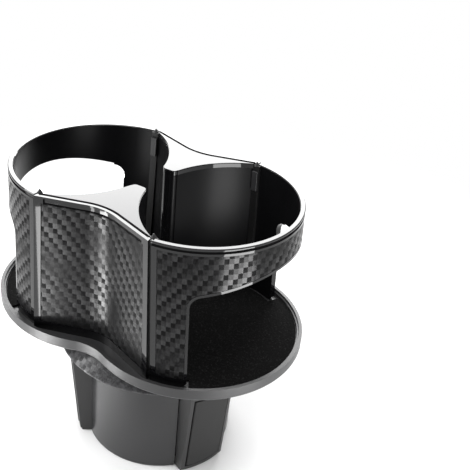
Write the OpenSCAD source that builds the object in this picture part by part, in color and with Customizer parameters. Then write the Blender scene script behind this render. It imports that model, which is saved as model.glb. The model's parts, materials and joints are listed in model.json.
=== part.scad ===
// Two-cup holder for a car console. A figure-eight holder with two open rings turns on a
// round base cup, and three padded fins slide out of the base to grip the console's own well.
// Millimetres. The base axis is the Z axis, the underside of the base is at z = 0, the long
// axis of the holder lies along X and its front faces -Y.

/* [Holder] */
// Outer radius of each ring
ring_r = 48; // [47:0.5:50]
// Distance of each ring centre from the middle of the holder
ring_cx = 25.7; // [25:0.1:27]
// Wall thickness of the rings and waist blocks
wall = 2.6; // [2.2:0.1:3]
// Height of the rim above the underside of the base
top_z = 144; // [140:1:150]
// Distance of the base axis from the middle of the holder
axis_off = 9.5; // [8:0.5:11]
// Distance of each seam from the middle of the holder
seam_x = 30.9; // [30:0.1:32]
// Width of the gap between the two waist blocks
waist_gap = 22; // [20:0.5:25]
// Width of the blunt nose of each waist block
nose_w = 7.4; // [6:0.2:9]
// Depth of the waist outline below the ring outline, measured at the middle
waist_dip = 8.3; // [7:0.1:9]
// Slope of the waist outline
waist_slope = 18.4; // [17:0.1:20]
// Radius of the hollow in the middle of the waist outline
waist_fillet = 25; // [20:1:30]
// Outward lean of the rings and of the seams between rings and waist blocks
lean = 2; // [1.4:0.1:2.4]
// Width of the gap at each seam
seam_w = 1; // [0.8:0.1:1.4]

/* [Windows] */
// Half angle of each ring window, seen from the ring centre
win_a = 62.5; // [60:0.5:65]
// Depth of the band over the window, at its middle
band_h = 16.5; // [14:0.5:19]
// Rise of the arched top edge of the window
arch_rise = 7; // [5:0.5:8]
// Radius of the upper window corners
win_corner = 6; // [4:0.5:7]
// Width of the plain frame that runs round each window
win_frame = 1.2; // [1:0.1:2]
// Rounding of the legs' feet at the windows
foot_r = 4; // [3:0.5:4.5]

/* [Trim] */
// Thickness of the leather wraps and panels
trim_t = 0.8; // [0.6:0.1:1]
// Height of the plain rim over the wraps
rim_h = 3.4; // [3:0.1:4]
// Depth of the shadow groove under the rim
groove_d = 0.9; // [0.7:0.1:1]
// Width of the plain frame between each seam and the leather of the rings
frame_w = 2.7; // [2.2:0.1:3.2]
// Width of the plain frame between each seam and the leather of the waist
panel_frame = 3; // [2.6:0.1:3.6]
// Thickness of the waist caps
cap_t = 2.4; // [2:0.1:3]
// Width of the outer lip round each waist cap
lip_w = 2; // [1.6:0.1:2.4]
// Width of the groove between lip and cap
groove_w = 0.4; // [0.3:0.1:0.6]
// Half width of the flange of each seam post
post_w = 1.8; // [1.5:0.1:2]
// Thickness of the flange of each seam post
post_t = 1.4; // [1.2:0.1:1.6]

/* [Tray] */
// Radius of each tray lobe
tray_r = 53.5; // [53:0.5:55.5]
// Distance of each lobe centre from the middle of the holder
tray_cx = 28; // [27.5:0.1:29]
// Reach of the tray at the waist
tray_waist = 48.4; // [47.5:0.1:49]
// Height of the tray's underside
tray_z = 69.6; // [68:0.2:71]
// Height of the tray band
tray_h = 5.2; // [4.6:0.2:6]
// Thickness of the tray floor
floor_t = 1.8; // [1.6:0.1:2.2]
// Thickness of the tray's raised rim
tray_rim = 1.6; // [1.4:0.1:2]
// Width of the step inside the tray's rim
tray_step = 0.9; // [0.7:0.1:1.2]
// Height of the skirt below the tray's underside
skirt_h = 1.2; // [0.8:0.1:1.4]
// Rounding of the tray's lower edge
skirt_r = 2; // [1.4:0.1:2.2]
// Thickness of the floor mats
mat_t = 1; // [0.8:0.1:1.4]

/* [Swivel] */
// Radius of the collar at its rim
collar_r = 52.7; // [51:0.1:54]
// Radius of the collar's flat top
collar_top_r = 45.2; // [44:0.1:46]
// Thickness of the collar's top plate
collar_plate = 2.4; // [2:0.1:2.8]
// Height of the collar's sloping face
collar_h = 6.4; // [5.5:0.1:7]
// Radius of the tray's pivot boss
pivot_r = 14; // [12:0.5:16]
// Radial clearance of the pivot boss in the collar, and of the dial in the base cover
run_fit = 0.05; // [0.02:0.01:0.1]
// Thickness of the swivel washer
washer_t = 1; // [0.8:0.1:1.2]

/* [Base] */
// Outer radius of the base cup
base_r = 38.4; // [37.5:0.1:39.5]
// Wall thickness of the base cup
base_wall = 2.4; // [2:0.1:2.8]
// Thickness of the base cover
cover_t = 2; // [1.8:0.1:2.4]
// Direction of the first fin from the long axis
fin_a0 = -24; // [-30:1:-18]

/* [Fins] */
// Width of each fin
fin_w = 24.8; // [23:0.2:26]
// Reach of each fin from the base axis at its foot
fin_foot_r = 43.7; // [43:0.1:45]
// Reach of each fin from the base axis at its top
fin_top_r = 47.8; // [47:0.1:49]
// Height of the fins above the base's underside
fin_top_z = 54; // [52:0.5:55]
// Clearance of the fins in their slots
fin_gap = 0.4; // [0.3:0.05:0.6]
// Inward travel of the fins from the modelled position
fin_in = 4.5; // [3:0.5:4.5]
// Outward travel of the fins from the modelled position
fin_out = 3.5; // [2:0.5:4]
// Fin travel for each degree that the dial turns
cam_rate = 0.066667; // [0.066:0.0001:0.068]
// Distance of the modelled drive pins from the base axis
pin_r0 = 17; // [16.8:0.1:17.5]
// Radius of the drive pins
pin_r = 2; // [1.8:0.1:2.1]
// Thickness of the rubber pads
pad_t = 1.6; // [1.4:0.1:1.8]

/* [Hidden] */
$fn = 128;
E = 0.01;
FAR = 200;
fins = 3;
// Outline of the holder
seam_a = acos((seam_x - ring_cx) / ring_r);
seam_in = [ring_cx + (ring_r - wall) * cos(seam_a), (ring_r - wall) * sin(seam_a)];
waist_y = ring_r - waist_dip;
nose_y = waist_gap / 2;
nose_r = nose_w * 0.27;
well_cx = (seam_in * seam_in - pow(nose_w / 2, 2) - pow(nose_y, 2)) / (2 * seam_in[0] - nose_w);
well_r = norm([well_cx, 0] - seam_in);
side_x = ring_cx + ring_r;
seat = 0.02;
// How far the hollow of an outline cuts into its flanks, so that arcs cross and never just touch
bite = 0.08;
// Heights of the holder
floor_z = tray_z + floor_t;
cap_z = top_z - cap_t;
foot_dx = (top_z - floor_z) * tan(lean);
arch_z = top_z - band_h;
arch_y = ring_r * sin(win_a - 180 * win_corner / (PI * ring_r));
arch_r = (pow(arch_y, 2) + pow(arch_rise, 2)) / (2 * arch_rise);
corner_a = win_a - 180 * win_corner / (PI * ring_r);
corner_z = arch_z - arch_rise - win_corner - ring_r * cos(corner_a) * sin(lean);
// Trim
trim_z0 = floor_z + 4.6;
trim_z1 = top_z - rim_h;
trim_gap = 0.1;
bead = rim_h / 3;
rim_lip = rim_h * 0.27;
// Tray outline
step_h = 1.2;
tray_fillet = (pow(tray_cx, 2) + pow(tray_waist, 2) - pow(tray_r, 2)) / (2 * (tray_r - tray_waist));
tray_fy = tray_waist + tray_fillet;
tray_fx = tray_cx * tray_fillet / (tray_r + tray_fillet);
// Swivel
collar_z1 = tray_z - washer_t;
collar_z0 = collar_z1 - collar_h;
collar_lip = 2;
plate_z0 = collar_z1 - collar_plate;
play = 0.2;
retainer_z1 = plate_z0 - play;
retainer_t = 1.8;
retainer_r = pivot_r + 4;
boss_in = pivot_r - 5;
washer_r = [pivot_r + 4, pivot_r + 14];
// Base
cup_in = base_r - base_wall;
cup_z1 = collar_z0 - collar_lip + 0.2;
deck_t = 2.4;
post_ring = 30;
boss_r = 4;
// Fins and cam
fin_z0 = 0.8;
fin_in_r = cup_in;
fin_wall = 2;
notch_r = fin_in_r - fin_in - 0.6;
frame_in = 1.8;
pad_gap = 0.6;
cam_z0 = cover_t + 0.5;
cam_z1 = cam_z0 + 4.6;
cam_r = 25;
dial_r = 14;
tongue_z0 = cam_z1 + 0.4;
tongue_t = 3.2;
tongue_w = 12;
tongue_gap = 0.2;
tongue_in = 11;
guide_z1 = tongue_z0 + tongue_t + tongue_gap + 2.2;
slot_w = pin_r + 0.35;
turn_in = fin_in / cam_rate;
turn_out = fin_out / cam_rate;
// Screws
screw_r = 1.4;
head_r = 2.7;
head_t = 1.5;
boss_y = waist_y - wall - boss_r;
tray_screw = [well_cx - sqrt(pow(well_r + wall, 2) - pow(boss_y, 2)) - boss_r + 0.6, boss_y];
tray_screw_l = 9;
bore_gap = 0.05;

// The right or back half of the holder as drawn, or turned to the left or front half
module on_half(s) {
    translate([-axis_off, 0, 0])
        rotate([0, 0, s > 0 ? 0 : 180])
            children();
}

// Both ends, back and front, of the right half
module both_ends() {
    for (m = [0, 1])
        mirror([0, m, 0])
            children();
}

// Frame of the right ring, which leans outward: its origin lies at the rim
module at_ring() {
    translate([ring_cx, 0, top_z])
        rotate([0, -lean, 0])
            children();
}

// Frame of the right-hand back seam at the rim, X outward from the ring's wall
module at_seam() {
    at_ring()
        rotate([0, 0, seam_a])
            translate([ring_r, 0, 0])
                children();
}

// Leaning tube of the right ring between radii r0 and r1, cut level at z0 and z1
module ring_tube(r0, r1, z0, z1) {
    intersection() {
        at_ring()
            translate([0, 0, -top_z])
                difference() {
                    cylinder(r = r1, h = 2 * top_z);
                    translate([0, 0, -E])
                        cylinder(r = r0, h = 2 * top_z + 2 * E);
                }
        translate([-FAR, -FAR, z0])
            cube([2 * FAR, 2 * FAR, z1 - z0]);
    }
}

// Half space on the waist's side (s = 1) or the ring's side (s = -1) of the right-hand back seam
module seam_side(s, g) {
    at_ring()
        rotate([0, 0, seam_a])
            translate([-FAR, s > 0 ? g : g - FAR, -FAR])
                cube([2 * FAR, FAR, 2 * FAR]);
}

// Sector of a tube round the axis, from angle a0 to a1
module sector(r0, r1, z0, z1, a0, a1) {
    rotate([0, 0, a0])
        rotate_extrude(angle = a1 - a0)
            translate([r0, z0])
                square([r1 - r0, z1 - z0]);
}

// Plan of the back waist block, run past the seams: io is the inset of the outer face and iw
// that of the well faces
module waist_plan(io, iw) {
    fr = waist_fillet + io;
    fx = fr * sin(waist_slope);
    fy = waist_y + waist_fillet - fr * cos(waist_slope);
    ey = fy + (side_x - fx) * tan(waist_slope);
    difference() {
        intersection() {
            polygon([[fx, fy], [side_x, ey], [side_x, 0], [-side_x, 0], [-side_x, ey], [-fx, fy]]);
            union() {
                translate([-FAR, nose_y + nose_r + iw])
                    square([2 * FAR, FAR]);
                translate([-nose_w / 2 + nose_r, nose_y + iw])
                    square([nose_w - 2 * nose_r, FAR]);
                for (s = [-1, 1])
                    translate([s * (nose_w / 2 - nose_r), nose_y + nose_r + iw])
                        circle(nose_r, $fn = 48);
            }
        }
        translate([0, waist_y + waist_fillet])
            circle(fr + bite);
        for (s = [-1, 1])
            translate([s * well_cx, 0])
                circle(well_r + iw);
    }
}

// What ends the back waist block at both seams: the ring's side, g from the middle of the seam,
// and the room of the post's flange
module waist_ends(g) {
    for (m = [0, 1])
        mirror([m, 0, 0]) {
            seam_side(-1, g);
            at_seam()
                translate([-wall - FAR, -FAR, -FAR])
                    cube([FAR, FAR + post_w + seat, 2 * FAR]);
        }
}

// Window of the right ring, grown by g
module window(g) {
    ga = 180 * g / (PI * ring_r);
    r0 = ring_r - 3 * wall;
    r1 = ring_r + wall;
    at_ring() {
        sector(r0, r1, -top_z, corner_z - top_z, -win_a - ga, win_a + ga);
        intersection() {
            sector(r0, r1, corner_z - top_z - E, 0, -corner_a, corner_a);
            translate([0, 0, arch_z - arch_r - top_z])
                rotate([0, 90 + lean, 0])
                    cylinder(r = arch_r + g, h = FAR);
        }
        for (s = [-1, 1])
            rotate([0, 0, s * corner_a])
                translate([r0, 0, corner_z - top_z])
                    rotate([0, 90, 0])
                        cylinder(r = win_corner + g, h = r1 - r0, $fn = 48);
    }
}

// Cut that rounds the back foot of the right ring at the window
module foot_cut() {
    fa = 180 * foot_r / (PI * ring_r);
    r0 = ring_r - 2 * wall;
    translate([ring_cx + foot_dx, 0, 0])
        difference() {
            sector(r0, ring_r + wall, floor_z - 1, floor_z + foot_r, win_a - 2, win_a + fa);
            rotate([0, 0, win_a + fa])
                translate([r0 - 1, 0, floor_z + foot_r])
                    rotate([0, 90, 0])
                        cylinder(r = foot_r + 2 * bite, h = 3 * wall + 2, $fn = 48);
        }
}

// Leather zone of the right ring, between radii r0 and r1 and inset by i
module wrap_zone(r0, r1, i) {
    difference() {
        ring_tube(r0, r1, trim_z0 + i, trim_z1 - i);
        both_ends()
            seam_side(1, -seam_w / 2 - frame_w - i);
        window(win_frame + i);
    }
}

// Plan of the tray, inset by i
module tray_plan(i) {
    for (s = [-1, 1])
        translate([s * tray_cx, 0])
            circle(tray_r - i);
    difference() {
        square([2 * tray_fx, 2 * tray_fy], center = true);
        for (s = [-1, 1])
            translate([0, s * tray_fy])
                circle(tray_fillet + i + bite);
    }
}

// What the rounded lower edge leaves out of a profile that ends at x = 0
module under_edge() {
    difference() {
        translate([-skirt_r, -1])
            square([skirt_r + 1, skirt_r + 1]);
        translate([-skirt_r, skirt_r])
            circle(skirt_r + bite, $fn = 48);
    }
}

// Body of the tray with its skirt: two lobes and a web with two hollows, rounded underneath
module tray_body() {
    h = tray_h + skirt_h;
    hollow_r = tray_fillet + bite;
    difference() {
        translate([0, 0, tray_z - skirt_h]) {
            for (s = [-1, 1])
                translate([s * tray_cx, 0, 0])
                    rotate_extrude()
                        difference() {
                            square([tray_r, h]);
                            translate([tray_r, 0])
                                under_edge();
                        }
            difference() {
                translate([-tray_fx, -tray_fy, 0])
                    cube([2 * tray_fx, 2 * tray_fy, h]);
                for (s = [-1, 1])
                    translate([0, s * tray_fy, 0])
                        rotate_extrude() {
                            translate([0, -1])
                                square([hollow_r, h + 2]);
                            translate([hollow_r, 0])
                                mirror([1, 0])
                                    under_edge();
                        }
            }
        }
        translate([0, 0, tray_z - skirt_h - 1])
            linear_extrude(skirt_h + 1)
                tray_plan(skirt_r + 0.8);
        translate([0, 0, floor_z])
            linear_extrude(tray_h)
                tray_plan(tray_rim + tray_step);
        translate([0, 0, tray_z + tray_h - step_h])
            linear_extrude(tray_h)
                tray_plan(tray_rim);
    }
}

// Screw with its head below z = 0 and its shank rising to z = l
module screw(l) {
    difference() {
        union() {
            translate([0, 0, -head_t])
                cylinder(r = head_r, h = head_t, $fn = 32);
            cylinder(r = screw_r, h = l, $fn = 32);
        }
        translate([0, 0, -head_t - E])
            cylinder(r = 1.3, h = 0.9, $fn = 6);
    }
}

// Copies its children round the base axis, n times from angle a0
module ring_of(n, r, a0) {
    for (k = [0:n - 1])
        rotate([0, 0, a0 + 360 * k / n])
            translate([r, 0, 0])
                children();
}

module tray() {
    color([0.12, 0.12, 0.13])
        difference() {
            union() {
                translate([-axis_off, 0, 0])
                    tray_body();
                translate([0, 0, retainer_z1])
                    cylinder(r = pivot_r, h = floor_z - retainer_z1 - floor_t / 2);
            }
            translate([0, 0, retainer_z1 - 1])
                cylinder(r = boss_in, h = tray_z - retainer_z1 + 1.4, $fn = 64);
            ring_of(3, (pivot_r + boss_in) / 2, 30)
                translate([0, 0, retainer_z1 - E])
                    cylinder(r = screw_r + bore_gap, h = 4.2, $fn = 32);
            tray_screw_places(tray_z - E) {
                cylinder(r = screw_r + bore_gap, h = floor_t + 2 * E, $fn = 32);
                cylinder(r1 = head_r + bore_gap, r2 = screw_r + bore_gap, h = 1.3, $fn = 32);
            }
        }
}

module tray_screw_places(z) {
    translate([-axis_off, 0, 0])
        for (sx = [-1, 1], sy = [-1, 1])
            translate([sx * tray_screw[0], sy * tray_screw[1], z])
                children();
}

module tray_screws() {
    color([0.5, 0.5, 0.52])
        tray_screw_places(tray_z) {
            cylinder(r1 = head_r, r2 = screw_r, h = 1.25, $fn = 32);
            cylinder(r = screw_r, h = tray_screw_l, $fn = 32);
        }
}

module mat(s) {
    gap = 0.4;
    color([0.05, 0.05, 0.05])
        on_half(s)
            translate([0, 0, floor_z])
                linear_extrude(mat_t)
                    difference() {
                        intersection() {
                            tray_plan(tray_rim + tray_step + gap);
                            translate([gap / 2, -FAR])
                                square([FAR, 2 * FAR]);
                            translate([ring_cx + foot_dx, 0]) {
                                circle(ring_r - wall - post_t - gap);
                                polygon([[0, 0], [FAR, -FAR * tan(win_a - 1)], [FAR, FAR * tan(win_a - 1)]]);
                            }
                        }
                        for (m = [0, 1])
                            mirror([0, m])
                                waist_plan(-gap, -gap);
                    }
}

module mat_left() { mat(-1); }

module mat_right() { mat(1); }

module ring(s) {
    rin = ring_r - wall;
    soft = 0.4;
    groove_z = trim_z1 + bead;
    color([0.03, 0.03, 0.035])
        on_half(s)
            difference() {
                intersection() {
                    ring_tube(rin, ring_r, floor_z + seat, top_z);
                    translate([ring_cx, 0, top_z - FAR / 2])
                        cylinder(r1 = ring_r - soft + FAR / 2, r2 = ring_r - soft, h = FAR / 2);
                }
                translate([ring_cx, 0, top_z - 2])
                    cylinder(r1 = rin + soft - 2, r2 = rin + soft + 1, h = 3);
                translate([ring_cx, 0, groove_z])
                    difference() {
                        cylinder(r = ring_r + wall, h = top_z - rim_lip - groove_z);
                        translate([0, 0, -1])
                            cylinder(r = ring_r - groove_d, h = rim_h);
                    }
                both_ends() {
                    seam_side(1, -seam_w / 2);
                    foot_cut();
                }
                window(0);
                wrap_zone(ring_r - trim_t, ring_r + 1, 0);
            }
}

module ring_left() { ring(-1); }

module ring_right() { ring(1); }

module wrap(s) {
    color([0.16, 0.16, 0.17])
        on_half(s)
            wrap_zone(ring_r - trim_t + seat, ring_r - 0.1, trim_gap);
}

module wrap_left() { wrap(-1); }

module wrap_right() { wrap(1); }

// Skin of the back waist block's outer face from z0 to z1, between insets i0 and i1, that ends
// g from the middle of each seam
module waist_skin(i0, i1, z0, z1, g) {
    difference() {
        translate([0, 0, z0])
            linear_extrude(z1 - z0)
                difference() {
                    waist_plan(i0, 0);
                    waist_plan(i1, -wall);
                }
        waist_ends(g);
    }
}

module waist_block(s) {
    color([0.03, 0.03, 0.035])
        on_half(s)
            difference() {
                union() {
                    translate([0, 0, floor_z + seat])
                        linear_extrude(cap_z - floor_z - seat)
                            difference() {
                                waist_plan(0, 0);
                                waist_plan(wall, wall);
                            }
                    translate([0, 0, cap_z - 1])
                        linear_extrude(cap_t + 1)
                            difference() {
                                waist_plan(0, 0);
                                waist_plan(lip_w, -wall);
                            }
                    for (x = [-1, 1])
                        translate([x * tray_screw[0], tray_screw[1], floor_z + seat])
                            cylinder(r = boss_r, h = cap_z - floor_z - seat, $fn = 48);
                }
                for (x = [-1, 1])
                    translate([x * tray_screw[0], tray_screw[1], 0]) {
                        translate([0, 0, floor_z - 1])
                            cylinder(r = screw_r + bore_gap, h = tray_screw_l + 3, $fn = 32);
                        translate([0, 0, cap_z - 9])
                            cylinder(r = 2 + bore_gap, h = 10, $fn = 32);
                    }
                waist_ends(seam_w / 2);
                waist_skin(-1, trim_t, trim_z0, trim_z1, seam_w / 2 + panel_frame);
                waist_skin(-1, groove_d, trim_z1 - E, top_z - rim_lip, seam_w / 2 + panel_frame + 1);
            }
}

module waist_block_front() { waist_block(-1); }

module waist_block_back() { waist_block(1); }

module waist_cap(s) {
    color([0.03, 0.03, 0.035])
        on_half(s)
            difference() {
                union() {
                    translate([0, 0, cap_z + seat])
                        linear_extrude(cap_t - seat - 0.4)
                            waist_plan(lip_w + groove_w, 0);
                    translate([0, 0, top_z - 0.4 - E])
                        linear_extrude(0.4 + E)
                            waist_plan(lip_w + groove_w + 0.3, 0.3);
                    for (x = [-1, 1])
                        translate([x * tray_screw[0], tray_screw[1], cap_z - 8])
                            cylinder(r = 2, h = 8 + 2 * seat, $fn = 32);
                }
                waist_ends(seam_w / 2);
            }
}

module waist_cap_front() { waist_cap(-1); }

module waist_cap_back() { waist_cap(1); }

module waist_panel(s) {
    g = seam_w / 2 + panel_frame + trim_gap;
    color([0.16, 0.16, 0.17])
        on_half(s)
            waist_skin(0.1, trim_t - seat, trim_z0 + trim_gap, trim_z1 - trim_gap, g);
}

module waist_panel_front() { waist_panel(-1); }

module waist_panel_back() { waist_panel(1); }

// Post behind the seam between a ring and a waist block: a web in the gap, a flange inside and
// a small pointed stud on top
module seam_post(sx, sy) {
    web = seam_w / 2 - seat;
    color([0.02, 0.02, 0.02])
        translate([-axis_off, 0, 0])
            mirror([sx > 0 ? 0 : 1, 0, 0])
                mirror([0, sy > 0 ? 0 : 1, 0]) {
                    intersection() {
                        at_seam() {
                            translate([-wall - post_t, -post_w, -top_z])
                                cube([post_t - 0.06, 2 * post_w, 2 * top_z]);
                            translate([-wall - post_t / 2, -web, -top_z])
                                cube([wall + post_t / 2 - 0.6, 2 * web, 2 * top_z]);
                        }
                        translate([-FAR, -FAR, floor_z + seat])
                            cube([2 * FAR, 2 * FAR, top_z - 0.4 - floor_z - seat]);
                    }
                    at_seam()
                        translate([-wall - post_t / 2, 0, -0.8])
                            cylinder(r1 = 1.5, r2 = 0.3, h = 2.1, $fn = 32);
                }
}

module seam_post_front_left() { seam_post(-1, -1); }

module seam_post_front_right() { seam_post(1, -1); }

module seam_post_back_left() { seam_post(-1, 1); }

module seam_post_back_right() { seam_post(1, 1); }

module seam_clips() {
    w = post_w * 0.9;
    clip_t = 1.1;
    clip_h = 10.5;
    color([0.05, 0.05, 0.05])
        translate([-axis_off, 0, 0])
            for (mx = [0, 1], my = [0, 1])
                mirror([mx, 0, 0])
                    mirror([0, my, 0])
                        at_seam()
                            translate([-wall - post_t - seat - clip_t, -w, -rim_h - clip_h])
                                cube([clip_t, 2 * w, clip_h]);
}

module swivel_washer() {
    color([0.25, 0.25, 0.25])
        translate([0, 0, collar_z1 + seat])
            difference() {
                cylinder(r = washer_r[1], h = washer_t - 2 * seat);
                translate([0, 0, -E])
                    cylinder(r = washer_r[0], h = washer_t + 2 * E);
            }
}

module swivel_retainer() {
    color([0.3, 0.3, 0.32])
        translate([0, 0, retainer_z1 - retainer_t])
            difference() {
                cylinder(r = retainer_r, h = retainer_t - seat);
                translate([0, 0, -E])
                    cylinder(r = boss_in - 2, h = retainer_t + 2 * E, $fn = 64);
                ring_of(3, (pivot_r + boss_in) / 2, 30)
                    translate([0, 0, -E])
                        cylinder(r = screw_r + bore_gap, h = retainer_t + 2 * E, $fn = 32);
            }
}

module retainer_screws() {
    color([0.5, 0.5, 0.52])
        ring_of(3, (pivot_r + boss_in) / 2, 30)
            translate([0, 0, retainer_z1 - retainer_t - seat])
                screw(retainer_t + 3.6);
}

module collar() {
    t = 2;
    sleeve_z = cup_z1 + seat;
    color([0.13, 0.13, 0.14])
        difference() {
            union() {
                rotate_extrude()
                    polygon([
                        [pivot_r + run_fit, plate_z0],
                        [pivot_r + run_fit, collar_z1],
                        [collar_top_r, collar_z1],
                        [collar_r, collar_z0],
                        [collar_r, collar_z0 - 0.8],
                        [collar_r - 1.5, collar_z0 - collar_lip],
                        [collar_r - 1.5 - t, collar_z0 - collar_lip],
                        [collar_r - 1 - t, collar_z0 - 0.8],
                        [collar_top_r - t / 2, plate_z0]
                    ]);
                translate([0, 0, sleeve_z])
                    difference() {
                        cylinder(r = base_r, h = plate_z0 - sleeve_z + E);
                        translate([0, 0, -E])
                            cylinder(r = cup_in, h = FAR);
                    }
                ring_of(3, post_ring, fin_a0 + 60)
                    translate([0, 0, sleeve_z])
                        cylinder(r = boss_r, h = plate_z0 - sleeve_z + E, $fn = 48);
            }
            ring_of(3, post_ring, fin_a0 + 60)
                translate([0, 0, sleeve_z - E])
                    cylinder(r = screw_r + bore_gap, h = 5.6, $fn = 32);
        }
}

module collar_screws() {
    color([0.5, 0.5, 0.52])
        ring_of(3, post_ring, fin_a0 + 60)
            translate([0, 0, cup_z1 - deck_t - seat])
                screw(deck_t + 5);
}

// Slot for a fin, straight along X
module fin_slot(r0, z0, z1) {
    translate([r0, -fin_w / 2 - fin_gap, z0])
        cube([FAR / 2, fin_w + 2 * fin_gap, z1 - z0]);
}

module base_cup() {
    color([0.15, 0.15, 0.16])
        difference() {
            union() {
                difference() {
                    translate([0, 0, cover_t + seat])
                        cylinder(r = base_r, h = cup_z1 - cover_t - seat);
                    translate([0, 0, -E])
                        cylinder(r = cup_in, h = cup_z1 - deck_t + E);
                    translate([0, 0, cup_z1 - deck_t - 1])
                        cylinder(r = 20, h = deck_t + 2, $fn = 96);
                }
                ring_of(3, post_ring, fin_a0 + 60)
                    difference() {
                        translate([0, 0, guide_z1 + seat])
                            cylinder(r = boss_r, h = 14, $fn = 48);
                        translate([0, 0, guide_z1])
                            cylinder(r = screw_r + bore_gap, h = 9, $fn = 32);
                    }
                ring_of(3, post_ring, fin_a0 + 60)
                    translate([boss_r - 0.5, -1, guide_z1 + seat])
                        cube([cup_in - post_ring - boss_r + 1, 2, 14]);
            }
            for (k = [0:fins - 1])
                rotate([0, 0, fin_a0 + 120 * k])
                    fin_slot(notch_r, -1, fin_top_z + fin_gap);
            ring_of(3, post_ring, fin_a0 + 60)
                translate([0, 0, cup_z1 - deck_t - E])
                    cylinder(r = screw_r + bore_gap, h = deck_t + 2 * E, $fn = 32);
        }
}

module base_cover() {
    color([0.18, 0.18, 0.19])
        difference() {
            union() {
                translate([0, 0, 0.5])
                    cylinder(r = base_r, h = cover_t - 0.5);
                cylinder(r = base_r - 0.5, h = cover_t);
            }
            translate([0, 0, -E])
                cylinder(r = dial_r + run_fit, h = cover_t + 2 * E);
            for (k = [0:fins - 1])
                rotate([0, 0, fin_a0 + 120 * k])
                    fin_slot(notch_r, -1, cover_t + 1);
            ring_of(3, post_ring, fin_a0 + 60) {
                translate([0, 0, -E])
                    cylinder(r = screw_r + bore_gap, h = cover_t + 2 * E, $fn = 32);
                translate([0, 0, -E])
                    cylinder(r1 = head_r + bore_gap, r2 = screw_r + bore_gap, h = 1.35, $fn = 32);
            }
        }
}

module cover_screws() {
    color([0.5, 0.5, 0.52])
        ring_of(3, post_ring, fin_a0 + 60) {
            translate([0, 0, 0.05])
                cylinder(r1 = head_r, r2 = screw_r, h = 1.25, $fn = 32);
            translate([0, 0, 0.05])
                cylinder(r = screw_r, h = guide_z1 + 7, $fn = 32);
        }
}

// Plate with three channels that keep the fins' tongues straight, on three legs
module fin_guide() {
    color([0.3, 0.3, 0.32])
        difference() {
            union() {
                translate([0, 0, tongue_z0])
                    cylinder(r = cup_in - 0.3, h = guide_z1 - tongue_z0);
                ring_of(3, post_ring, fin_a0 + 60)
                    translate([0, 0, cover_t + seat])
                        cylinder(r = boss_r, h = guide_z1 - cover_t - seat, $fn = 48);
            }
            for (k = [0:fins - 1])
                rotate([0, 0, fin_a0 + 120 * k]) {
                    translate([-3, -tongue_w / 2 - tongue_gap, tongue_z0 - 1])
                        cube([FAR / 2, tongue_w + 2 * tongue_gap, tongue_t + tongue_gap + 1]);
                    fin_slot(notch_r, tongue_z0 - 1, guide_z1 + 1);
                }
            ring_of(3, post_ring, fin_a0 + 60)
                cylinder(r = screw_r + bore_gap, h = guide_z1 + 1, $fn = 32);
        }
}

// Spiral slot of the cam for the fin that lies along X
module cam_slot() {
    n = 24;
    t0 = -turn_in - 1;
    dt = (turn_in + turn_out + 2) / n;
    turns = [for (i = [0:n]) t0 + i * dt];
    function at(t, w) = (pin_r0 + cam_rate * t + w) * [cos(-t), sin(-t)];
    polygon(concat([for (t = turns) at(t, slot_w)], [for (i = [n:-1:0]) at(turns[i], -slot_w)]));
    for (t = [turns[0], turns[n]])
        translate(at(t, 0))
            circle(slot_w, $fn = 32);
}

module cam_dial() {
    grip = 3;
    color([0.2, 0.2, 0.22])
        difference() {
            union() {
                translate([0, 0, cam_z0])
                    cylinder(r = cam_r, h = cam_z1 - cam_z0);
                translate([0, 0, 0.5])
                    cylinder(r = dial_r, h = cam_z0);
            }
            for (k = [0:fins - 1])
                rotate([0, 0, fin_a0 + 120 * k])
                    translate([0, 0, cam_z0 + 1])
                        linear_extrude(cam_z1 - cam_z0)
                            cam_slot();
            translate([0, 0, -E])
                difference() {
                    cylinder(r = dial_r - 2, h = 2, $fn = 96);
                    translate([-FAR, -grip, -E])
                        cube([2 * FAR, 2 * grip, 5]);
                }
        }
}

// Body of revolution inside a fin's sloping face, i inside that face
module fin_face(i, z0, z1) {
    slope = (fin_top_r - fin_foot_r) / (fin_top_z - fin_z0);
    function face_r(z) = fin_foot_r - i + slope * (z - fin_z0);
    rotate_extrude()
        polygon([[0, z0], [face_r(z0), z0], [face_r(z1), z1], [0, z1]]);
}

module fin_slab(r0, w, z0, z1) {
    translate([r0, -w / 2, z0])
        cube([FAR / 2, w, z1 - z0]);
}

module fin(k) {
    c = 1.4;
    color([0.1, 0.1, 0.11])
        rotate([0, 0, fin_a0 + 120 * k]) {
            difference() {
                intersection() {
                    fin_slab(fin_in_r, fin_w, fin_z0, fin_top_z);
                    union() {
                        fin_face(0, fin_z0 + c, fin_top_z - c);
                        fin_face(0.7, fin_z0, fin_top_z);
                    }
                }
                intersection() {
                    fin_slab(fin_in_r - 1, fin_w - 2 * fin_wall, fin_z0 + fin_wall, fin_top_z - fin_wall);
                    fin_face(pad_t + fin_wall, fin_z0, fin_top_z);
                }
                difference() {
                    fin_slab(fin_in_r, fin_w - 2 * frame_in, fin_z0 + 3, fin_top_z - 3);
                    fin_face(pad_t, fin_z0, fin_top_z);
                }
            }
            translate([tongue_in, -tongue_w / 2, tongue_z0 + 0.05])
                cube([fin_foot_r - pad_t - fin_wall / 2 - tongue_in, tongue_w, tongue_t]);
            translate([pin_r0, 0, cam_z0 + 1.3])
                cylinder(r = pin_r, h = tongue_z0 - cam_z0, $fn = 48);
        }
}

module fin_right() { fin(0); }

module fin_back() { fin(1); }

module fin_left() { fin(2); }

module fin_pad(k) {
    w = fin_w - 2 * frame_in - 2 * pad_gap;
    color([0.07, 0.07, 0.07])
        rotate([0, 0, fin_a0 + 120 * k])
            intersection() {
                fin_slab(fin_in_r, w, fin_z0 + 3 + pad_gap, fin_top_z - 3 - pad_gap);
                difference() {
                    fin_face(-0.4, fin_z0, fin_top_z);
                    fin_face(pad_t - seat, fin_z0 - 1, fin_top_z + 1);
                }
            }
}

module fin_pad_right() { fin_pad(0); }

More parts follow.
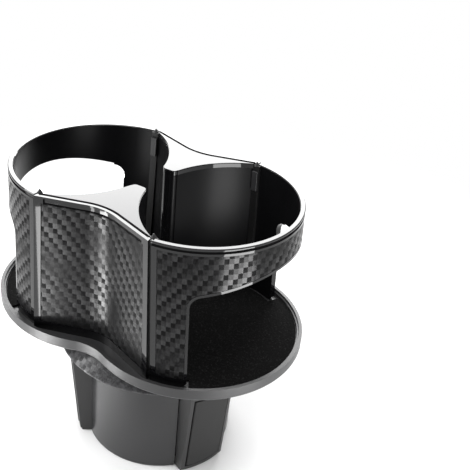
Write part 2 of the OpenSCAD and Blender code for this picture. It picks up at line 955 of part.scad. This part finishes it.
module fin_pad_back() { fin_pad(1); }

module fin_pad_left() { fin_pad(2); }

tray();
mat_left();
mat_right();
ring_left();
ring_right();
wrap_left();
wrap_right();
waist_block_front();
waist_block_back();
waist_cap_front();
waist_cap_back();
waist_panel_front();
waist_panel_back();
seam_post_front_left();
seam_post_front_right();
seam_post_back_left();
seam_post_back_right();
seam_clips();
tray_screws();
swivel_washer();
swivel_retainer();
retainer_screws();
collar();
collar_screws();
base_cup();
base_cover();
cover_screws();
fin_guide();
cam_dial();
fin_right();
fin_back();
fin_left();
fin_pad_right();
fin_pad_back();
fin_pad_left();
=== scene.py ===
"""Looks of a twin-well cup holder for a car console: gloss rings, embossed leather, felt and rubber."""

import json
import math

import bmesh
import bpy
from bpy.props import FloatProperty, FloatVectorProperty, IntProperty, PointerProperty
from mathutils import Matrix, Vector


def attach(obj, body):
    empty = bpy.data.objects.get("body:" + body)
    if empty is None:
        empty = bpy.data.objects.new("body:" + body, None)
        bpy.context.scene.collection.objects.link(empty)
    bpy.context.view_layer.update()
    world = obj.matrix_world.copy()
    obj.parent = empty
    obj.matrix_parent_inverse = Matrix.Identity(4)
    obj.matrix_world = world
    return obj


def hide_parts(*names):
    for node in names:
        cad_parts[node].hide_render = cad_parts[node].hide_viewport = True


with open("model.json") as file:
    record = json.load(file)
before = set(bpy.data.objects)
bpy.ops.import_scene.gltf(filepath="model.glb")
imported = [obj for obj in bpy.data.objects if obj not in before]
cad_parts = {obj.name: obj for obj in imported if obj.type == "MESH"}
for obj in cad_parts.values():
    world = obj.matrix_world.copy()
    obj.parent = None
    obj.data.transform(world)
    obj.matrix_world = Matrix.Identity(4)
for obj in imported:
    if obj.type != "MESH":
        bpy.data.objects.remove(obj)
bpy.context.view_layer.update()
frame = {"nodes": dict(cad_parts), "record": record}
MM = 0.001

bl_info = {
    "name": "Console Cup Holder",
    "version": (1, 0, 0),
    "blender": (4, 5, 0),
    "location": "View3D > Sidebar > Cup Holder",
    "description": "Dresses a packed cup holder in gloss plastic, twill leather, felt and rubber",
    "category": "Object",
}

# The holder's plan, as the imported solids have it
AXIS_OFF = 9.5 * MM  # from the base's axis to the middle of the holder
RING_CX = 25.7 * MM  # from the middle of the holder to the middle of a ring
RING_R = 48.0 * MM
RING_LEAN = math.radians(2.0)  # how far a ring spreads towards its foot
RIM_Z = 144.0 * MM
WAIST_Y = 39.7 * MM  # the deepest place of the waist's hollow
WAIST_FILLET = 25.0 * MM  # radius of that hollow
WAIST_SLOPE = math.radians(18.4)  # turn of the flanks beside it
GROOVE_IN = 2.2 * MM  # from the waist's outer face to the groove of the cap
GROOVE_SHADE_END = 28.8 * MM  # from the middle of the holder to an end of the dark bead of painted shade in the cap's groove
COLLAR_R = 50.0 * MM
COLLAR_SLOPE = math.atan2(6.4, 7.5)
WELL_FACING = 0.8  # how squarely a face looks at a well's axis when it lines that well

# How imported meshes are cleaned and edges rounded
WELD = 0.004 * MM
FLAT = math.radians(0.6)
EDGE_ANGLE = 28
GROOVE_SHADE_EDGE, GROOVE_SHADE_STEPS, GROOVE_SHADE_ANGLE = 0.1 * MM, 2, 60
SCREW_EDGE = 0.12 * MM
GUIDE_EDGE = 0.05 * MM

# The twill repeats after three threads, of which two lie on top and one of those stands highest
TWILL_REPEAT = 3.0
TWILL_TOP = 1.5
TWILL_CREST = 0.5
TWILL_TALL = 1.2  # height of a thread's cell over its width

# The stage, in metres and watts
FLOOR_R = 2.5
FLOOR_NEAR, FLOOR_FAR = 0.16, 0.42  # the floor turns to plain white between these distances
DAYLIGHT = 0.55  # strength of the white world on matt surfaces
FRAME_WIDTH = 36  # of the camera's sensor, in millimetres
MIDDLE = (0, 0, 0.1)
LAMPS = (
    # name, place, what it points at, width and height, power
    ("rear_box", (-0.42, 0.75, 0.62), MIDDLE, (0.9, 0.6), 12.5),
    ("left_box", (-0.75, -0.45, 0.45), MIDDLE, (0.35, 0.7), 5.0),
    ("top_box", (0.1, -0.2, 1.1), MIDDLE, (0.6, 0.6), 3.5),
    ("left_strip", (-0.213, 0.186, 0.06), (-0.077, -0.024, 0.1), (0.06, 0.12), 0.25),
    ("flank_strip", (-0.044, -0.136, 0.045), (-0.0355, -0.036, 0.08), (0.012, 0.08), 0.02),
    ("hollow_strip", (-0.070, -0.110, 0.045), (-0.0095, -0.030, 0.08), (0.03, 0.08), 0.1),
    ("ring_strip", (0.160, -0.057, 0.05), (0.055, -0.030, 0.1), (0.085, 0.08), 0.17),
)


# Sizes and colours that a user would change


class CupHolderEdges(bpy.types.PropertyGroup):
    """Rounding of the edges, by finish"""

    gloss: FloatProperty(name="Gloss edges", description="Rounding of the gloss rings, blocks and caps",
                         default=0.45 * MM, min=0, unit="LENGTH")
    satin: FloatProperty(name="Satin edges", description="Rounding of the moulded tray, collar and base",
                         default=0.35 * MM, min=0, unit="LENGTH")
    leather: FloatProperty(name="Leather edges", description="Rounding of the leather at its border",
                           default=0.3 * MM, min=0, unit="LENGTH")
    # Width of the near-black bead that paints shade into the groove between lip and cap
    seal: FloatProperty(name="Seal", description="Width of the dark seal between lip and cap",
                        default=1.2 * MM, min=0.1 * MM, unit="LENGTH")
    rubber: FloatProperty(name="Rubber edges", description="Rounding of the rubber pads",
                          default=0.5 * MM, min=0, unit="LENGTH")
    steps: IntProperty(name="Edge steps", description="Faces across each rounded edge",
                       default=3, min=1, max=6)


class CupHolderFinish(bpy.types.PropertyGroup):
    """Colours and grain of the materials"""

    gloss: FloatVectorProperty(name="Gloss black", description="Colour of the piano-gloss plastic",
                               subtype="COLOR", default=(0.0025, 0.0025, 0.0028), min=0, max=1)
    satin: FloatVectorProperty(name="Satin black", description="Colour of the satin moulded plastic",
                               subtype="COLOR", default=(0.03, 0.03, 0.031), min=0, max=1)
    base: FloatVectorProperty(name="Base grey", description="Colour of the base cup",
                              subtype="COLOR", default=(0.0155, 0.0155, 0.0165), min=0, max=1)
    leather: FloatVectorProperty(name="Leather", description="Colour of the twill-embossed leather",
                                 subtype="COLOR", default=(0.0125, 0.0125, 0.013), min=0, max=1)
    felt: FloatVectorProperty(name="Felt", description="Colour of the flocked floor mats",
                              subtype="COLOR", default=(0.008, 0.008, 0.008), min=0, max=1)
    rubber: FloatVectorProperty(name="Rubber", description="Colour of the grip pads",
                                subtype="COLOR", default=(0.012, 0.012, 0.012), min=0, max=1)
    cell: FloatProperty(name="Twill cell", description="Width of one thread of the embossed twill",
                        default=2.15 * MM, min=0.5 * MM, unit="LENGTH")


class CupHolderStage(bpy.types.PropertyGroup):
    """Camera, floor and lights"""

    azimuth: FloatProperty(name="Camera azimuth", description="Direction of the camera, from the front",
                           default=math.radians(26.97), unit="ROTATION")
    elevation: FloatProperty(name="Camera elevation", description="Height of the camera over the horizon",
                             default=math.radians(30.44), unit="ROTATION")
    roll: FloatProperty(name="Camera roll", description="Tilt of the camera about its own axis",
                        default=math.radians(6.046), unit="ROTATION")
    place: FloatVectorProperty(name="Camera place", description="Where the camera stands",
                               subtype="XYZ", unit="LENGTH", default=(0.1752, -0.2745, 0.3105))
    lens: FloatProperty(name="Lens", description="Focal length for a 36 mm frame", default=60.05, min=10)
    floor: FloatVectorProperty(name="Floor", description="Colour of the pale floor",
                               subtype="COLOR", default=(0.9, 0.9, 0.9), min=0, max=1)


# Shader maths


class Value:
    """A shader value that can be used in a Python expression"""

    def __init__(self, finish, socket):
        self.finish = finish
        self.socket = socket

    def math(self, operation, *others):
        return self.finish.node("ShaderNodeMath", {"operation": operation}, [self, *others])

    def __add__(self, other):
        return self.math("ADD", other)

    def __sub__(self, other):
        return self.math("SUBTRACT", other)

    def __mul__(self, other):
        return self.math("MULTIPLY", other)

    def __truediv__(self, other):
        return self.math("DIVIDE", other)

    def __radd__(self, other):
        return self.math("ADD", other)

    def __rmul__(self, other):
        return self.math("MULTIPLY", other)

    def __rsub__(self, other):
        return self.finish.node("ShaderNodeMath", {"operation": "SUBTRACT"}, [other, self])

    def __lt__(self, other):
        return self.math("LESS_THAN", other)

    def floor(self):
        return self.math("FLOOR")

    def fract(self):
        return self.math("FRACT")

    def wrap(self, size):
        return self.math("FLOORED_MODULO", size)

    def power(self, exponent):
        return self.math("POWER", exponent)

    def at_least(self, other):
        return self.math("MAXIMUM", other)

    def at_most(self, other):
        return self.math("MINIMUM", other)


class Nodes:
    """A node tree that is being built"""

    def __init__(self, tree):
        self.tree = tree
        tree.nodes.clear()

    def put(self, socket, value):
        if isinstance(value, Value):
            self.tree.links.new(value.socket, socket)
        else:
            socket.default_value = value

    def node(self, kind, settings=None, sockets=(), output=0):
        """Adds a node: its settings first, then the values or links of its sockets"""
        made = self.tree.nodes.new(kind)
        for name, value in (settings or {}).items():
            setattr(made, name, value)
        named = sockets.items() if isinstance(sockets, dict) else enumerate(sockets)
        for key, value in named:
            self.put(made.inputs[key], value)
        return made if output is None else Value(self, made.outputs[output])

    def seen(self):
        """1 where the camera, a reflection or a transmission looks, 0 for diffuse light"""
        camera, glossy, through = (
            self.node("ShaderNodeLightPath", output="Is %s Ray" % kind)
            for kind in ("Camera", "Glossy", "Transmission"))
        return camera.at_least(glossy).at_least(through)

    def blend(self, factor, a, b):
        """Mixes two shaders"""
        return self.node("ShaderNodeMixShader", {}, [factor, a, b])


class Finish(Nodes):
    """A material that is being built"""

    def __init__(self, name):
        self.material = bpy.data.materials.new(name)
        self.material.use_nodes = True
        super().__init__(self.material.node_tree)
        self.shader = self.node("ShaderNodeBsdfPrincipled")
        self.output = self.node("ShaderNodeOutputMaterial", {}, [self.shader], None)

    def shade(self, **sockets):
        """Sets sockets of the main shader; an underscore in a name stands for a space"""
        shader = self.shader.socket.node
        for name, value in sockets.items():
            self.put(shader.inputs[name.replace("_", " ")], value)
        return self.material

    def place(self):
        return self.node("ShaderNodeTexCoord", output="Object")

    def noise(self, scale, detail=3.0, roughness=0.55, stretch=(1, 1, 1)):
        """Noise on the object's own coordinates, at a scale per metre"""
        where = self.node("ShaderNodeMapping", {}, {"Vector": self.place(), "Scale": stretch})
        return self.node("ShaderNodeTexNoise", {},
                         {"Vector": where, "Scale": scale, "Detail": detail, "Roughness": roughness})

    def mix(self, factor, a, b):
        """Mixes two colours"""
        ends = [c if isinstance(c, Value) else (*c, 1) for c in (a, b)]
        return self.node("ShaderNodeMix", {"data_type": "RGBA"}, {0: factor, 6: ends[0], 7: ends[1]}, 2)

    def bump(self, height, depth, strength=1.0):
        return self.node("ShaderNodeBump", {}, {"Height": height, "Distance": depth, "Strength": strength})


def scaled(colour, factor):
    return tuple(min(1.0, c * factor) for c in colour)


def gloss_black(name, colour, roughness=0.06, lacquer=0.9):
    """Piano-gloss plastic with faint ripple, smears and hairlines, and no lacquer where it lines a well"""
    f = Finish(name)
    wall = f.node("ShaderNodeAttribute", {"attribute_name": "wall"}, output="Fac")
    smear = f.noise(26, 5.0, 0.62)
    hair = f.noise(900, 2.0, 0.5, (1, 0.04, 0.3))
    worn = ((smear - 0.5) * 0.12).at_least(0.0) + hair.power(6.0) * 0.08
    return f.shade(
        Base_Color=f.mix(smear, colour, scaled(colour, 2.4)),
        Roughness=roughness + worn + wall * 0.24,
        Specular_IOR_Level=0.12,
        Coat_Weight=(1.0 - wall) * lacquer,
        Coat_Roughness=0.03,
        Normal=f.bump(f.noise(140, 2.0), 0.01 * MM, 0.25),
    )


def satin_plastic(name, colour, roughness=0.38, grain=0.03):
    """Satin moulded plastic: fine spark-eroded grain and soft unevenness"""
    f = Finish(name)
    cloud = f.noise(38, 4.0, 0.6)
    rub = (f.noise(210, 5.0, 0.7, (1, 1, 0.35)) - 0.56).at_least(0.0)
    return f.shade(
        Base_Color=f.mix(cloud, scaled(colour, 0.7), scaled(colour, 1.3)),
        Roughness=roughness - 0.06 + cloud * 0.12 - rub * 0.5,
        IOR=1.5,
        Normal=f.bump(f.noise(2600, 2.0), grain * MM, 0.5),
    )


def twill_leather(name, colour, cell, lean=1, flat=0.0):
    """Leather embossed with a two-over-one twill whose raised threads shine and are painted lighter as
    painted sheen, on a UV map in metres.

    Lean is the way its diagonals run, and flat is how much of the embossing is smoothed away everywhere.
    """
    f = Finish(name)
    uv = f.node("ShaderNodeUVMap", {"uv_map": "twill"})
    u, v = (f.node("ShaderNodeSeparateXYZ", {}, [uv], axis) / size
            for axis, size in (("X", cell), ("Y", cell * TWILL_TALL)))
    thread = (u.floor() * lean + v.floor()).wrap(TWILL_REPEAT)
    warp = thread < TWILL_TOP
    crest = thread < TWILL_CREST
    weft = 1.0 - warp
    round_u = 1.0 - (u.fract() * 2.0 - 1.0).power(2.0)
    round_v = 1.0 - (v.fract() * 2.0 - 1.0).power(2.0)
    height = (warp * round_u + weft * round_v).power(0.5)
    ribs = (u * 5.0).fract() * warp + (v * 5.0).fract() * weft
    grain = f.noise(1500, 3.0, 0.7, (1, 1, 0.4))
    cloud = f.noise(48, 4.0, 0.62)
    faded = ((cloud - 0.44) * 5.0 + flat).at_least(flat).at_most(0.85)
    shine = (warp * 0.55 + crest * 0.45) * (1.0 - faded) + faded * 0.28
    return f.shade(
        # The raised threads are painted lighter than the sunken ones: painted sheen for the shine of their
        # relief. The grain's tone is the leather's own.
        Base_Color=f.mix(shine * 0.6 + (grain - 0.5) * 1.3, scaled(colour, 0.3), scaled(colour, 1.7)),
        Roughness=0.42 - shine * 0.08 + (grain - 0.5) * 0.2,
        Specular_IOR_Level=0.05,
        Coat_Weight=shine * (0.35 + grain * 0.65),
        Coat_Roughness=0.19,
        Normal=f.bump(height * (1.0 - faded) + ribs * 0.2 + grain * 0.9, 0.1 * MM, 0.6),
    )


def flocked_felt(name, colour):
    """Short flocked felt: pale specks painted into the colour as fibre glints, matted patches and a faint
    sheen
    """
    f = Finish(name)
    fibre = f.noise(1250, 4.0, 0.75)
    patch = f.noise(140, 4.0, 0.65)
    # Pale specks painted into the colour: painted glints of the fibre tips
    glint_speck = ((fibre - 0.5) * 4.0).at_least(0.0).power(2.0)
    return f.shade(
        Base_Color=f.mix(glint_speck, scaled(colour, 0.3), scaled(colour, 6.0)),
        Roughness=0.95 - patch * 0.1,
        Sheen_Weight=0.04,
        Sheen_Roughness=0.5,
        Specular_IOR_Level=0.05,
        Normal=f.bump(fibre + patch * 0.6, 0.3 * MM, 0.6),
    )


def grip_rubber(name, colour, gleam=0.3):
    """Matt rubber with fine pits and pale handling marks"""
    f = Finish(name)
    marks = f.noise(90, 5.0, 0.65)
    return f.shade(
        Base_Color=f.mix(marks, scaled(colour, 0.7), scaled(colour, 1.5)),
        Roughness=0.62 + marks * 0.14,
        Specular_IOR_Level=gleam,
        Normal=f.bump(f.noise(2100, 3.0), 0.06 * MM, 0.6),
    )


def zinc_steel(name):
    """Zinc-plated steel with turning marks"""
    f = Finish(name)
    rings = f.noise(1500, 2.0, 0.5, (1, 1, 4))
    dull = f.noise(300, 3.0)
    return f.shade(
        Base_Color=f.mix(dull, (0.42, 0.42, 0.44), (0.6, 0.6, 0.61)),
        Metallic=1.0,
        Roughness=0.28 + dull * 0.15,
        Normal=f.bump(rings, 0.02 * MM, 0.5),
    )


def finish_named(name):
    """The material of that name, made the first time it is asked for"""
    look = bpy.context.scene.cup_finish
    recipes = {
        "gloss": (gloss_black, look.gloss),
        "mirror": (gloss_black, look.gloss, 0.04, 0.58),
        "satin": (satin_plastic, look.satin),
        "post": (satin_plastic, scaled(look.satin, 0.15), 0.5),
        "base": (satin_plastic, look.base, 0.24),
        "fin": (satin_plastic, scaled(look.satin, 0.25), 0.42),
        "inner": (satin_plastic, scaled(look.base, 1.5), 0.5),
        "panel_leather": (twill_leather, look.leather, look.cell, 1),
        "ring_leather": (twill_leather, look.leather, look.cell, -1),
        "collar": (twill_leather, scaled(look.leather, 6.5), look.cell, 1, 0.45),
        "felt": (flocked_felt, look.felt),
        "rubber": (grip_rubber, look.rubber),
        # Near-black, barely glossy rubber for the bead of painted shade in the caps' grooves
        "seal": (grip_rubber, scaled(look.rubber, 0.15), 0.04),
        "steel": (zinc_steel,),
    }
    maker, *details = recipes[name]
    return bpy.data.materials.get(name) or maker(name, *details)


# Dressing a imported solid


def welded(node):
    """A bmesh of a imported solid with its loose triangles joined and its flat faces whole"""
    bm = bmesh.new()
    bm.from_mesh(frame["nodes"][node].data)
    bmesh.ops.remove_doubles(bm, verts=bm.verts, dist=WELD)
    bmesh.ops.dissolve_limit(bm, angle_limit=FLAT, use_dissolve_boundaries=False,
                             verts=bm.verts, edges=bm.edges, delimit=set())
    return bm


def finish_piece(bm, name, finish, body, stands_for=()):
    """Turns a bmesh into a smooth-shaded piece that rides on a body, in place of the solids it stands for"""
    mesh = bpy.data.meshes.new(name)
    bm.to_mesh(mesh)
    bm.free()
    mesh.materials.append(finish_named(finish))
    mesh.shade_smooth()
    piece = bpy.data.objects.new(name, mesh)
    bpy.context.scene.collection.objects.link(piece)
    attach(piece, body)
    if stands_for:
        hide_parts(*stands_for)
    return piece


def round_edges(piece, width, steps, angle=EDGE_ANGLE):
    """Rounded edges, and shading that stays flat on flat faces"""
    bevel = piece.modifiers.new("edges", "BEVEL")
    bevel.width = width
    bevel.segments = steps
    bevel.limit_method = "ANGLE"
    bevel.angle_limit = math.radians(angle)
    bevel.use_clamp_overlap = True
    normals = piece.modifiers.new("normals", "WEIGHTED_NORMAL")
    normals.weight = 100
    return piece


def body_of(node):
    bodies = frame["record"]["behaviour"]["bodies"]
    return next(name for name, nodes in bodies.items() if node in nodes)


def dress(node, finish, width, uv=None, lines_well=False):
    """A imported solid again, with rounded edges and a finish"""
    bm = welded(node)
    if uv:
        layer = bm.loops.layers.uv.new("twill")
        for face in bm.faces:
            for loop in face.loops:
                loop[layer].uv = uv(loop.vert.co)
    if lines_well:
        wall = bm.faces.layers.float.new("wall")
        for face in bm.faces:
            face[wall] = float(faces_well(face))
    piece = finish_piece(bm, node + "_dressed", finish, body_of(node), [node])
    return round_edges(piece, width, bpy.context.scene.cup_edges.steps)


def faces_well(face):
    """Whether a face of a shell lines one of the two wells"""
    middle = face.calc_center_median()
    for side in (-1, 1):
        inward = Vector((side * RING_CX - AXIS_OFF - middle.x, -middle.y, 0))
        if inward.length < RING_R and inward.normalized().dot(face.normal) > WELL_FACING:
            return True
    return False


def round_ring(side):
    """UV in metres round one ring: along the arc, rightwards as seen from outside, and up"""

    def uv(co):
        centre = side * (RING_CX + (RIM_Z - co.z) * math.tan(RING_LEAN)) - AXIS_OFF
        return (math.atan2(side * co.y, side * (co.x - centre)) * RING_R, co.z)

    return uv


def along_waist(side):
    """UV in metres along one waist panel's wall, rightwards as seen from outside, and up"""
    return lambda co: (-side * (co.x + AXIS_OFF) / math.cos(WAIST_SLOPE), co.z)


def round_collar(co):
    """UV in metres on the collar's slope"""
    reach = math.hypot(co.x, co.y)
    return (math.atan2(co.y, co.x) * COLLAR_R, reach / math.cos(COLLAR_SLOPE))


def groove_shade_bead(end):
    """A thin dark bead in the groove between a waist block's lip and its cap, painted shade that stands for
    the groove's shadow line: flank, hollow and flank
    """
    side = {"front": -1, "back": 1}[end]
    sin, cos = math.sin(WAIST_SLOPE), math.cos(WAIST_SLOPE)
    hub = Vector((-AXIS_OFF, side * (WAIST_Y + WAIST_FILLET), RIM_Z))
    reach = WAIST_FILLET + GROOVE_IN
    along = Vector((cos, -side * sin, 0))
    run = (GROOVE_SHADE_END - reach * sin) / cos
    start = hub + Vector((-reach * sin, -side * reach * cos, 0)) - along * run
    flattened = Vector((0, 0, 0.6))
    turn = Matrix((Vector((0, 0, 1)).cross(along), flattened, along)).transposed().to_4x4()

    bm = bmesh.new()
    bmesh.ops.create_circle(bm, segments=12, radius=bpy.context.scene.cup_edges.seal / 2,
                            matrix=Matrix.Translation(start) @ turn)
    ring = bm.edges[:]
    for move in (along, None, Vector((along.x, -along.y, 0))):
        if move:
            made = bmesh.ops.extrude_edge_only(bm, edges=ring)["geom"]
            corners = [e for e in made if isinstance(e, bmesh.types.BMVert)]
            bmesh.ops.translate(bm, vec=move * run, verts=corners)
        else:
            made = bmesh.ops.spin(bm, geom=ring, cent=hub, axis=(0, 0, 1), steps=16,
                                  angle=side * 2 * WAIST_SLOPE)["geom_last"]
        ring = [e for e in made if isinstance(e, bmesh.types.BMEdge) and e.is_boundary]
    bmesh.ops.holes_fill(bm, edges=[e for e in bm.edges if e.is_boundary], sides=0)
    bmesh.ops.recalc_face_normals(bm, faces=bm.faces)
    piece = finish_piece(bm, "seal_" + end, "seal", body_of("waist_cap_" + end))
    return round_edges(piece, GROOVE_SHADE_EDGE, GROOVE_SHADE_STEPS, GROOVE_SHADE_ANGLE)


# The pieces


class CUPHOLDER_OT_rings(bpy.types.Operator):
    """Adds the two gloss ring shells"""

    bl_idname = "cup_holder.rings"
    bl_label = "Ring shells"

    def execute(self, context):
        for node in ("ring_left", "ring_right"):
            dress(node, "gloss", context.scene.cup_edges.gloss, lines_well=True)
        return {"FINISHED"}


class CUPHOLDER_OT_wraps(bpy.types.Operator):
    """Adds the leather wraps of the rings and the leather panels of the waist"""

    bl_idname = "cup_holder.wraps"
    bl_label = "Leather wraps and panels"

    def execute(self, context):
        width = context.scene.cup_edges.leather
        for side, wrap, panel in ((-1, "wrap_left", "waist_panel_front"),
                                  (1, "wrap_right", "waist_panel_back")):
            dress(wrap, "ring_leather", width, round_ring(side))
            dress(panel, "panel_leather", width, along_waist(side))
        return {"FINISHED"}


class CUPHOLDER_OT_waist(bpy.types.Operator):
    """Adds the two hollow waist blocks and their caps"""

    bl_idname = "cup_holder.waist"
    bl_label = "Waist blocks and caps"

    def execute(self, context):
        width = context.scene.cup_edges.gloss
        for end in ("front", "back"):
            dress("waist_block_" + end, "gloss", width, lines_well=True)
            dress("waist_cap_" + end, "mirror", width * 0.4)
            # A dark bead of painted shade in the cap's groove
            groove_shade_bead(end)
        return {"FINISHED"}


class CUPHOLDER_OT_posts(bpy.types.Operator):
    """Adds the four seam posts and the clips on them"""

    bl_idname = "cup_holder.posts"
    bl_label = "Seam posts and clips"

    def execute(self, context):
        width = context.scene.cup_edges.satin
        for end in ("front_left", "front_right", "back_left", "back_right"):
            dress("seam_post_" + end, "post", width)
        dress("seam_clips", "satin", width * 0.7)
        return {"FINISHED"}


class CUPHOLDER_OT_tray(bpy.types.Operator):
    """Adds the tray and its felt mats"""

    bl_idname = "cup_holder.tray"
    bl_label = "Tray and mats"

    def execute(self, context):
        width = context.scene.cup_edges.satin
        dress("tray", "satin", width)
        for node in ("mat_left", "mat_right"):
            dress(node, "felt", width)
        return {"FINISHED"}


class CUPHOLDER_OT_base(bpy.types.Operator):
    """Adds the collar, the base cup, its cover and the dial"""

    bl_idname = "cup_holder.base"
    bl_label = "Collar, base cup and dial"

    def execute(self, context):
        width = context.scene.cup_edges.satin
        dress("collar", "collar", width, round_collar)
        dress("base_cup", "base", width)
        dress("base_cover", "base", width * 0.6)
        dress("cam_dial", "inner", width * 0.6)
        dress("fin_guide", "inner", GUIDE_EDGE)
        dress("swivel_washer", "inner", width * 0.5)
        dress("swivel_retainer", "inner", width * 0.5)
        return {"FINISHED"}


class CUPHOLDER_OT_fins(bpy.types.Operator):
    """Adds the three fins and their rubber pads"""

    bl_idname = "cup_holder.fins"
    bl_label = "Fins and pads"

    def execute(self, context):
        edges = context.scene.cup_edges
        for end in ("right", "back", "left"):
            dress("fin_" + end, "fin", edges.satin)
            dress("fin_pad_" + end, "rubber", edges.rubber)
        return {"FINISHED"}


class CUPHOLDER_OT_screws(bpy.types.Operator):
    """Adds the steel screws"""

    bl_idname = "cup_holder.screws"
    bl_label = "Screws"

    def execute(self, context):
        for node in ("tray_screws", "retainer_screws", "collar_screws", "cover_screws"):
            dress(node, "steel", SCREW_EDGE)
        return {"FINISHED"}


class CUPHOLDER_OT_stage(bpy.types.Operator):
    """Adds the floor, the lights and the camera"""

    bl_idname = "cup_holder.stage"
    bl_label = "Stage"

    def execute(self, context):
        stage = context.scene.cup_stage
        floor_and_world(context.scene, stage)
        for lamp in LAMPS:
            softbox(context.scene, *lamp)
        camera(context.scene, stage)
        context.scene.view_settings.view_transform = "Standard"
        return {"FINISHED"}


def floor_and_world(scene, stage):
    """A pale floor that takes the shadow, and a world that is white to the camera and in reflections"""
    bm = bmesh.new()
    bmesh.ops.create_circle(bm, cap_ends=True, segments=96, radius=FLOOR_R)
    mesh = bpy.data.meshes.new("floor")
    bm.to_mesh(mesh)
    bm.free()
    floor = bpy.data.objects.new("floor", mesh)
    scene.collection.objects.link(floor)
    f = Finish("floor")
    mesh.materials.append(f.shade(Base_Color=(*stage.floor, 1), Roughness=0.95, Specular_IOR_Level=0.1))
    reach = f.node("ShaderNodeVectorMath", {"operation": "LENGTH"}, [f.place()], "Value")
    far = f.node("ShaderNodeMapRange", {"interpolation_type": "SMOOTHSTEP"}, [reach, FLOOR_NEAR, FLOOR_FAR])
    white = f.node("ShaderNodeEmission", {}, {"Color": (1, 1, 1, 1), "Strength": 1.0})
    f.put(f.output.inputs["Surface"], f.blend(far * f.seen(), f.shader, white))

    scene.world = bpy.data.worlds.new("studio")
    scene.world.use_nodes = True
    w = Nodes(scene.world.node_tree)
    lit, plain = (w.node("ShaderNodeBackground", {}, [(1, 1, 1, 1), strength])
                  for strength in (DAYLIGHT, 1.0))
    w.node("ShaderNodeOutputWorld", {}, [w.blend(w.seen(), lit, plain)], None)


def softbox(scene, name, place, target, size, power):
    """A rectangular lamp that the camera doesn't see; the low strips draw the upright highlights"""
    light = bpy.data.lights.new(name, "AREA")
    light.shape = "RECTANGLE"
    light.size, light.size_y = size
    light.energy = power
    lamp = bpy.data.objects.new(name, light)
    place, target = Vector(place), Vector(target)
    turn = (place - target).to_track_quat("Z", "Y").to_matrix().to_4x4()
    lamp.matrix_world = Matrix.Translation(place) @ turn
    lamp.visible_camera = False
    scene.collection.objects.link(lamp)


def camera(scene, stage):
    """The camera at the photograph's angle"""
    az, el, roll = stage.azimuth, stage.elevation, stage.roll
    back = Vector((math.sin(az) * math.cos(el), -math.cos(az) * math.cos(el), math.sin(el)))
    level = Vector((math.cos(az), math.sin(az), 0))
    rise = back.cross(level)
    right = math.cos(roll) * level + math.sin(roll) * rise
    up = math.cos(roll) * rise - math.sin(roll) * level
    data = bpy.data.cameras.new("camera")
    data.lens = stage.lens
    data.sensor_width = FRAME_WIDTH
    data.clip_start = 0.01
    eye = bpy.data.objects.new("camera", data)
    turn = Matrix((right, up, back)).transposed().to_4x4()
    eye.matrix_world = Matrix.Translation(Vector(stage.place)) @ turn
    scene.collection.objects.link(eye)
    scene.camera = eye


class CUPHOLDER_PT_panel(bpy.types.Panel):
    """Lists the pieces of the cup holder"""

    bl_label = "Cup Holder"
    bl_idname = "CUPHOLDER_PT_panel"
    bl_space_type = "VIEW_3D"
    bl_region_type = "UI"
    bl_category = "Cup Holder"

    def draw(self, context):
        for operator in STEPS:
            self.layout.operator(operator.bl_idname)


GROUPS = {"cup_edges": CupHolderEdges, "cup_finish": CupHolderFinish, "cup_stage": CupHolderStage}
STEPS = (
    CUPHOLDER_OT_stage,
    CUPHOLDER_OT_rings,
    CUPHOLDER_OT_wraps,
    CUPHOLDER_OT_waist,
    CUPHOLDER_OT_posts,
    CUPHOLDER_OT_tray,
    CUPHOLDER_OT_base,
    CUPHOLDER_OT_fins,
    CUPHOLDER_OT_screws,
)


def register():
    for group in GROUPS.values():
        bpy.utils.register_class(group)
    for operator in STEPS:
        bpy.utils.register_class(operator)
    bpy.utils.register_class(CUPHOLDER_PT_panel)
    for name, group in GROUPS.items():
        setattr(bpy.types.Scene, name, PointerProperty(type=group))


def unregister():
    for name in GROUPS:
        delattr(bpy.types.Scene, name)
    bpy.utils.unregister_class(CUPHOLDER_PT_panel)
    for operator in reversed(STEPS):
        bpy.utils.unregister_class(operator)
    for group in GROUPS.values():
        bpy.utils.unregister_class(group)


def main():
    register()
    for operator in STEPS:
        group, name = operator.bl_idname.split(".")
        getattr(getattr(bpy.ops, group), name)()


if __name__ == "__main__":
    main()
